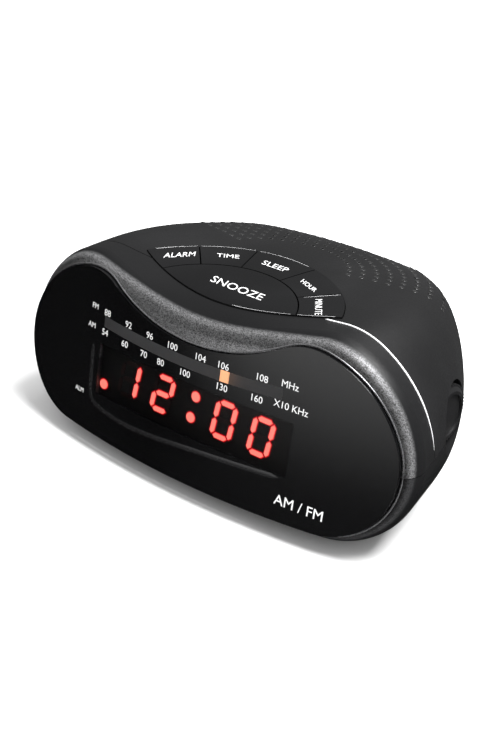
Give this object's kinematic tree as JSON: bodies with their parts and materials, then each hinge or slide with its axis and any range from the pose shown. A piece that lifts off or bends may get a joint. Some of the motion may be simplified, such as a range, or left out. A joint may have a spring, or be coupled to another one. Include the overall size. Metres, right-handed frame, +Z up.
{
  "type": "clock radio",
  "caption": "Bedside clock radio with a leaning, bowed bean-shaped face, red digital display, dial scale and top keys.",
  "frame": {"origin": "middle of the footprint, on the table under the rubber feet", "axes": "+X to the right seen from the front, +Y from the face to the back, +Z up"},
  "size_m": [0.1784, 0.1216, 0.0732],
  "materials": {
    "rim_paint": "gunmetal metallic lacquer over plastic, satin gloss",
    "black_cabinet": "satin black moulded plastic with a very fine grain",
    "base_black": "matt black moulded plastic",
    "smoked_lens": "polished black acrylic with printing behind the window",
    "dial_grey": "matt dark grey plate",
    "steel": "bright zinc-plated steel",
    "pointer_orange": "matt peach-orange plastic",
    "white_nylon": "natural nylon",
    "knob_black": "matt black plastic with a ribbed edge",
    "poly_clear": "milky plastic film-dielectric case",
    "cord_fibre": "waxed dial cord",
    "can_metal": "drawn metal screening can",
    "chip_black": "moulded epoxy package",
    "key_black": "satin black plastic key",
    "board_tan": "brown phenolic circuit board",
    "board_green": "solder-masked circuit board",
    "module_black": "matt black display case",
    "led_red": "glowing red diffused segments",
    "led_off": "unlit red-tinted segments",
    "elco_blue": "blue heat-shrink sleeve",
    "speaker_steel": "pressed steel, dark plated",
    "magnet_grey": "ferrite magnet",
    "paper_cone": "doped paper cone",
    "core_steel": "stacked steel laminations, varnished",
    "coil_yellow": "taped transformer winding",
    "ferrite_dark": "dark grey sintered ferrite",
    "copper_wire": "enamelled copper winding",
    "battery_sleeve": "plain printed metal jacket, no lettering",
    "rubber": "matt black rubber"
  },
  "bodies": {
    "radio": {"front_cabinet": "rim_paint", "rear_cabinet": "black_cabinet", "bottom_case": "base_black", "display_lens": "smoked_lens", "dial_backing": "dial_grey", "pointer_rail": "steel", "dial_chassis": "steel", "tuning_capacitor": "poly_clear", "dial_cord": "cord_fibre", "volume_potentiometer": "can_metal", "function_switch": "chip_black", "band_switch": "chip_black", "key_frame": "base_black", "key_board": "board_tan", "tact_switches": "chip_black", "display_board": "board_green", "led_display": "module_black", "led_segments_lit": "led_red", "led_segments_dark": "led_off", "main_board": "board_green", "clock_chip": "chip_black", "radio_chip": "chip_black", "if_transformers": "can_metal", "electrolytic_capacitors": "elco_blue", "speaker_basket": "speaker_steel", "speaker_magnet": "magnet_grey", "speaker_cone": "paper_cone", "transformer_core": "core_steel", "transformer_coil": "coil_yellow", "ferrite_rod": "ferrite_dark", "aerial_coil": "copper_wire", "rod_holders": "white_nylon", "backup_battery": "battery_sleeve", "battery_snap": "chip_black", "rubber_feet": "rubber", "cord_gland": "rubber", "case_screws": "steel", "board_screws": "steel", "display_screws": "steel", "speaker_clips": "steel", "speaker_screws": "steel"},
    "tuning_shaft": {"tuning_shaft": "steel", "tuning_knob": "knob_black"},
    "tuning_drum": {"tuning_drum": "white_nylon"},
    "dial_pointer": {"dial_pointer": "pointer_orange"},
    "idler_left": {"idler_pulley_left": "white_nylon"},
    "idler_front": {"idler_pulley_front": "white_nylon"},
    "idler_rear": {"idler_pulley_rear": "white_nylon"},
    "volume_shaft": {"volume_shaft": "steel", "volume_knob": "knob_black"},
    "function_switch_cap": {"function_switch_cap": "knob_black"},
    "band_switch_cap": {"band_switch_cap": "knob_black"},
    "battery_door": {"battery_door": "base_black"},
    "snooze_key": {"snooze_key": "key_black"},
    "alarm_key": {"alarm_key": "key_black"},
    "time_key": {"time_key": "key_black"},
    "sleep_key": {"sleep_key": "key_black"},
    "hour_key": {"hour_key": "key_black"},
    "minute_key": {"minute_key": "key_black"}
  },
  "joints": [
    {"name": "snooze_key_press", "type": "slide", "parent": "radio", "child": "snooze_key", "axis": [0, 0, -1], "range_m": [0, 0.0008], "stiffness_N_per_m": 600, "springref_m": -0.0006},
    {"name": "alarm_key_press", "type": "slide", "parent": "radio", "child": "alarm_key", "axis": [0, 0, -1], "range_m": [0, 0.0008], "stiffness_N_per_m": 600, "springref_m": -0.0006},
    {"name": "time_key_press", "type": "slide", "parent": "radio", "child": "time_key", "axis": [0, 0, -1], "range_m": [0, 0.0008], "stiffness_N_per_m": 600, "springref_m": -0.0006},
    {"name": "sleep_key_press", "type": "slide", "parent": "radio", "child": "sleep_key", "axis": [0, 0, -1], "range_m": [0, 0.0008], "stiffness_N_per_m": 600, "springref_m": -0.0006},
    {"name": "hour_key_press", "type": "slide", "parent": "radio", "child": "hour_key", "axis": [0, 0, -1], "range_m": [0, 0.0008], "stiffness_N_per_m": 600, "springref_m": -0.0006},
    {"name": "minute_key_press", "type": "slide", "parent": "radio", "child": "minute_key", "axis": [0, 0, -1], "range_m": [0, 0.0008], "stiffness_N_per_m": 600, "springref_m": -0.0006},
    {"name": "tuning_turn", "type": "hinge", "parent": "radio", "child": "tuning_shaft", "pos_m": [0.0728, -0.004, 0.037], "axis": [1, 0, 0], "range_deg": [-1007.2, 460.7]},
    {"name": "pointer_travel", "type": "slide", "parent": "radio", "child": "dial_pointer", "axis": [1, 0, 0], "range_m": [-0.0499, 0.0231]},
    {"name": "drum_turn", "type": "hinge", "parent": "radio", "child": "tuning_drum", "pos_m": [0.034, -0.008, 0.051], "axis": [0, 0, 1], "range_deg": [-58.3, 125.1]},
    {"name": "idler_left_turn", "type": "hinge", "parent": "radio", "child": "idler_left", "pos_m": [-0.056, -0.0295, 0.051], "axis": [0, 0, 1], "range_deg": [-810.7, 372]},
    {"name": "idler_front_turn", "type": "hinge", "parent": "radio", "child": "idler_front", "pos_m": [0.0605, -0.0295, 0.051], "axis": [0, 0, 1], "range_deg": [-810.7, 372]},
    {"name": "idler_rear_turn", "type": "hinge", "parent": "radio", "child": "idler_rear", "pos_m": [0.0605, 0.012, 0.051], "axis": [0, 0, 1], "range_deg": [-810.7, 372]},
    {"name": "volume_turn", "type": "hinge", "parent": "radio", "child": "volume_shaft", "pos_m": [-0.0784, -0.004, 0.037], "axis": [-1, 0, 0], "range_deg": [-135, 135]},
    {"name": "function_slide", "type": "slide", "parent": "radio", "child": "function_switch_cap", "axis": [0, 0, 1], "range_m": [-0.0022, 0.0022]},
    {"name": "band_slide", "type": "slide", "parent": "radio", "child": "band_switch_cap", "axis": [0, 0, 1], "range_m": [-0.0022, 0.0022]},
    {"name": "battery_door_swing", "type": "hinge", "parent": "radio", "child": "battery_door", "pos_m": [0.0073, -0.009, 0.00295], "axis": [0, -1, 0], "range_deg": [0, 88]}
  ],
  "couplings": [
    {"joint": "pointer_travel", "follows": "tuning_turn", "m_per_rad": 0.00281},
    {"joint": "drum_turn", "follows": "tuning_turn", "ratio": -0.12217},
    {"joint": "idler_left_turn", "follows": "tuning_turn", "ratio": 0.80286},
    {"joint": "idler_front_turn", "follows": "tuning_turn", "ratio": 0.80286},
    {"joint": "idler_rear_turn", "follows": "tuning_turn", "ratio": 0.80286}
  ]
}
